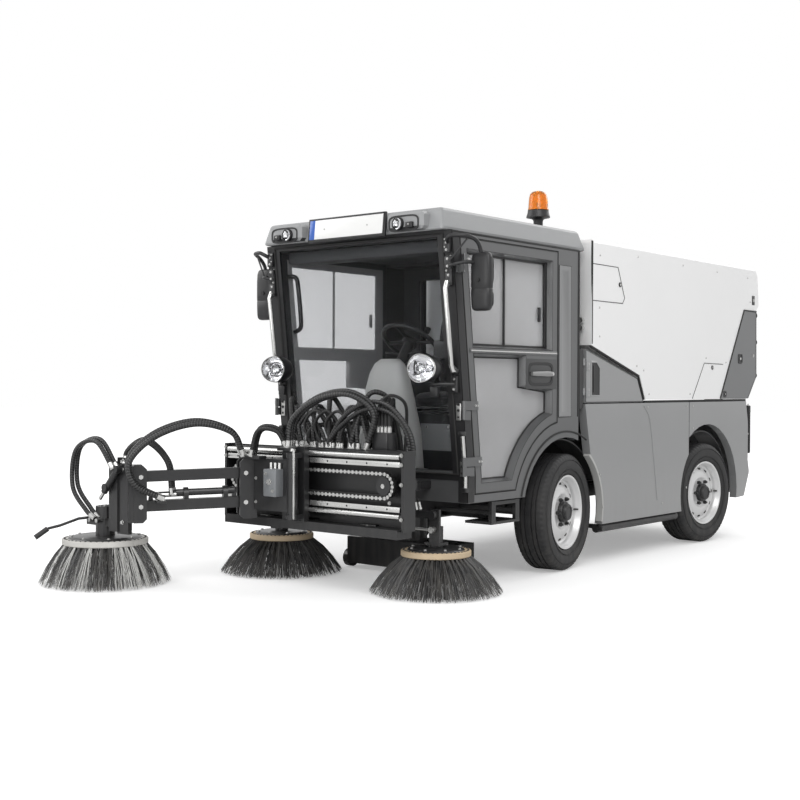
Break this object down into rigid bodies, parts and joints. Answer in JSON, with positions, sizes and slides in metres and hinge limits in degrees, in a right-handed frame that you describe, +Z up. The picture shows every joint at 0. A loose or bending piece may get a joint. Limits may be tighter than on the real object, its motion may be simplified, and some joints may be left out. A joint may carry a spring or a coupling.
{
  "type": "street sweeper",
  "caption": "Compact cab-forward street sweeper with all-wheel steering, a tipping hopper, two side brooms and a third broom on a traversing parallel arm.",
  "frame": {"origin": "middle of the bounding box at the ground under the tyres", "axes": "+Y towards the vehicle's rear, +X towards its left side, +Z up"},
  "size_m": [2.171, 4.839, 2.15],
  "materials": {
    "black_steel": "satin powder coat",
    "engine_iron": "cast, painted",
    "body_grey": "satin paint",
    "roof_grey": "satin moulded shell",
    "hopper_white": "satin paint",
    "rear_grey": "satin paint",
    "bright_steel": "zinc plated",
    "rim_silver": "silver paint",
    "tyre": "black rubber",
    "black_plastic": "fine grain",
    "glass": "clear, lightly tinted",
    "amber": "clear amber",
    "lamp": "clear lens",
    "seat_cloth": "woven",
    "bristle": "bristles in a wooden ring",
    "cream_hose": "ribbed flexible hose"
  },
  "bodies": {
    "vehicle": {"chassis_frame": "black_steel", "front_axle": "black_steel", "rear_axle": "black_steel", "engine_block": "engine_iron", "cab_frame": "body_grey", "cab_roof": "roof_grey", "windscreen": "glass", "rear_window": "glass", "dashboard": "black_plastic", "seat": "seat_cloth", "headlight_left": "lamp", "headlight_right": "lamp", "mirror_left": "black_plastic", "mirror_right": "black_plastic", "beacon": "amber", "side_panel_left": "body_grey", "side_panel_right": "body_grey", "rear_body": "body_grey", "suction_mouth": "black_steel", "front_frame": "black_steel", "traverse_chain": "bright_steel"},
    "knuckle_front_left": {"knuckle_front_left": "black_steel"},
    "knuckle_front_right": {"knuckle_front_right": "black_steel"},
    "knuckle_rear_left": {"knuckle_rear_left": "black_steel"},
    "knuckle_rear_right": {"knuckle_rear_right": "black_steel"},
    "wheel_front_left": {"tyre_front_left": "tyre", "rim_front_left": "rim_silver"},
    "wheel_front_right": {"tyre_front_right": "tyre", "rim_front_right": "rim_silver"},
    "wheel_rear_left": {"tyre_rear_left": "tyre", "rim_rear_left": "rim_silver"},
    "wheel_rear_right": {"tyre_rear_right": "tyre", "rim_rear_right": "rim_silver"},
    "door_left": {"door_left": "body_grey", "door_glass_left": "glass"},
    "door_right": {"door_right": "body_grey", "door_glass_right": "glass"},
    "cover_left": {"side_cover_left": "body_grey"},
    "cover_right": {"side_cover_right": "body_grey"},
    "hopper": {"hopper_tub": "hopper_white", "rear_corner_left": "rear_grey", "rear_corner_right": "rear_grey"},
    "hopper_door": {"hopper_door": "hopper_white", "stowed_hose": "cream_hose"},
    "carriage": {"carriage": "black_steel"},
    "swing_bracket": {"swing_bracket": "black_steel"},
    "lower_beam": {"lower_beam": "black_steel", "arm_cylinder": "bright_steel"},
    "upper_beam": {"upper_beam": "black_steel"},
    "arm_head": {"arm_head": "black_steel"},
    "broom_bracket": {"broom_bracket": "black_steel"},
    "third_broom": {"third_broom": "bristle"},
    "side_arm_left": {"side_arm_left": "black_steel"},
    "side_rod_left": {"side_rod_left": "bright_steel"},
    "side_hanger_left": {"side_hanger_left": "black_steel"},
    "side_broom_left": {"side_broom_left": "bristle"},
    "side_arm_right": {"side_arm_right": "black_steel"},
    "side_rod_right": {"side_rod_right": "bright_steel"},
    "side_hanger_right": {"side_hanger_right": "black_steel"},
    "side_broom_right": {"side_broom_right": "bristle"}
  },
  "joints": [
    {"name": "steer_front_left", "type": "hinge", "parent": "vehicle", "child": "knuckle_front_left", "pos_m": [0.6645, -0.15445, 0.327], "axis": [0, 0, 1], "range_deg": [-34.1, 17.9]},
    {"name": "steer_front_right", "type": "hinge", "parent": "vehicle", "child": "knuckle_front_right", "pos_m": [-0.2555, -0.15445, 0.327], "axis": [0, 0, 1], "range_deg": [-34.1, 17.9]},
    {"name": "steer_rear_left", "type": "hinge", "parent": "vehicle", "child": "knuckle_rear_left", "pos_m": [0.6645, 1.58455, 0.327], "axis": [0, 0, 1], "range_deg": [-15.8, 24.2]},
    {"name": "steer_rear_right", "type": "hinge", "parent": "vehicle", "child": "knuckle_rear_right", "pos_m": [-0.2555, 1.58455, 0.327], "axis": [0, 0, 1], "range_deg": [-15.8, 24.2]},
    {"name": "spin_front_left", "type": "hinge", "parent": "knuckle_front_left", "child": "wheel_front_left", "pos_m": [0.75855, -0.14106, 0.327], "axis": [0.99, 0.1409, 0], "continuous": true},
    {"name": "spin_front_right", "type": "hinge", "parent": "knuckle_front_right", "child": "wheel_front_right", "pos_m": [-0.34955, -0.16784, 0.327], "axis": [0.99, 0.1409, 0], "continuous": true},
    {"name": "spin_rear_left", "type": "hinge", "parent": "knuckle_rear_left", "child": "wheel_rear_left", "pos_m": [0.75924, 1.57759, 0.327], "axis": [0.9973, -0.0732, 0], "continuous": true},
    {"name": "spin_rear_right", "type": "hinge", "parent": "knuckle_rear_right", "child": "wheel_rear_right", "pos_m": [-0.35024, 1.59151, 0.327], "axis": [0.9973, -0.0732, 0], "continuous": true},
    {"name": "door_left_hinge", "type": "hinge", "parent": "vehicle", "child": "door_left", "pos_m": [0.8665, -1.11945, 1], "axis": [0, 0, -1], "range_deg": [0, 60]},
    {"name": "door_right_hinge", "type": "hinge", "parent": "vehicle", "child": "door_right", "pos_m": [-0.4575, -1.11945, 1], "axis": [0, 0, 1], "range_deg": [0, 60]},
    {"name": "cover_left_hinge", "type": "hinge", "parent": "vehicle", "child": "cover_left", "pos_m": [0.8445, 0.03805, 1.085], "axis": [0, 0, -1], "range_deg": [0, 80]},
    {"name": "cover_right_hinge", "type": "hinge", "parent": "vehicle", "child": "cover_right", "pos_m": [-0.4355, 0.03805, 1.085], "axis": [0, 0, 1], "range_deg": [0, 80]},
    {"name": "hopper_tip", "type": "hinge", "parent": "vehicle", "child": "hopper", "pos_m": [0.2045, 2.26555, 0.945], "axis": [-1, 0, 0], "range_deg": [0, 50]},
    {"name": "hopper_door_hinge", "type": "hinge", "parent": "hopper", "child": "hopper_door", "pos_m": [0.2045, 2.34555, 1.815], "axis": [1, 0, 0], "range_deg": [0, 90]},
    {"name": "traverse", "type": "slide", "parent": "vehicle", "child": "carriage", "axis": [1, 0, 0], "range_m": [-0.1, 0.36]},
    {"name": "arm_swing", "type": "hinge", "parent": "carriage", "child": "swing_bracket", "pos_m": [0.1685, -1.62245, 0.549], "axis": [0, 0, 1], "range_deg": [-2, 105]},
    {"name": "arm_lift", "type": "hinge", "parent": "swing_bracket", "child": "lower_beam", "pos_m": [-0.1615, -1.64445, 0.43], "axis": [-0.8315, 0.5556, 0], "range_deg": [0, 35]},
    {"name": "arm_lift_upper", "type": "hinge", "parent": "swing_bracket", "child": "upper_beam", "pos_m": [-0.1615, -1.64445, 0.58], "axis": [-0.8315, 0.5556, 0], "range_deg": [0, 35]},
    {"name": "arm_head_level", "type": "hinge", "parent": "lower_beam", "child": "arm_head", "pos_m": [-0.4555, -2.08445, 0.417], "axis": [-0.8315, 0.5556, 0], "range_deg": [-35, 0]},
    {"name": "broom_tilt", "type": "hinge", "parent": "arm_head", "child": "broom_bracket", "pos_m": [-0.6255, -2.07945, 0.318], "axis": [0, 1, 0], "range_deg": [-5, 12]},
    {"name": "third_broom_spin", "type": "hinge", "parent": "broom_bracket", "child": "third_broom", "pos_m": [-0.7455, -2.07945, 0.2], "axis": [0, 0, 1], "continuous": true},
    {"name": "side_lift_left", "type": "hinge", "parent": "vehicle", "child": "side_arm_left", "pos_m": [0.4945, -1.24845, 0.392], "axis": [0, -1, 0], "range_deg": [0, 22]},
    {"name": "side_rod_left_pivot", "type": "hinge", "parent": "vehicle", "child": "side_rod_left", "pos_m": [0.4945, -1.24845, 0.318], "axis": [0, -1, 0], "range_deg": [0, 22]},
    {"name": "side_level_left", "type": "hinge", "parent": "side_arm_left", "child": "side_hanger_left", "pos_m": [0.7645, -1.24845, 0.392], "axis": [0, -1, 0], "range_deg": [-22, 0]},
    {"name": "side_broom_spin_left", "type": "hinge", "parent": "side_hanger_left", "child": "side_broom_left", "pos_m": [0.7485, -1.19345, 0.2], "axis": [0, 0, 1], "continuous": true},
    {"name": "side_lift_right", "type": "hinge", "parent": "vehicle", "child": "side_arm_right", "pos_m": [-0.0855, -1.24845, 0.392], "axis": [0, 1, 0], "range_deg": [0, 22]},
    {"name": "side_rod_right_pivot", "type": "hinge", "parent": "vehicle", "child": "side_rod_right", "pos_m": [-0.0855, -1.24845, 0.318], "axis": [0, 1, 0], "range_deg": [0, 22]},
    {"name": "side_level_right", "type": "hinge", "parent": "side_arm_right", "child": "side_hanger_right", "pos_m": [-0.3555, -1.24845, 0.392], "axis": [0, 1, 0], "range_deg": [-22, 0]},
    {"name": "side_broom_spin_right", "type": "hinge", "parent": "side_hanger_right", "child": "side_broom_right", "pos_m": [-0.3395, -1.19345, 0.2], "axis": [0, 0, 1], "continuous": true}
  ],
  "couplings": [
    {"joint": "steer_front_right", "follows": "steer_front_left", "ratio": 1},
    {"joint": "steer_rear_right", "follows": "steer_rear_left", "ratio": 1},
    {"joint": "arm_lift_upper", "follows": "arm_lift", "ratio": 1},
    {"joint": "arm_head_level", "follows": "arm_lift", "ratio": -1},
    {"joint": "side_rod_left_pivot", "follows": "side_lift_left", "ratio": 1},
    {"joint": "side_level_left", "follows": "side_lift_left", "ratio": -1},
    {"joint": "side_rod_right_pivot", "follows": "side_lift_right", "ratio": 1},
    {"joint": "side_level_right", "follows": "side_lift_right", "ratio": -1}
  ]
}
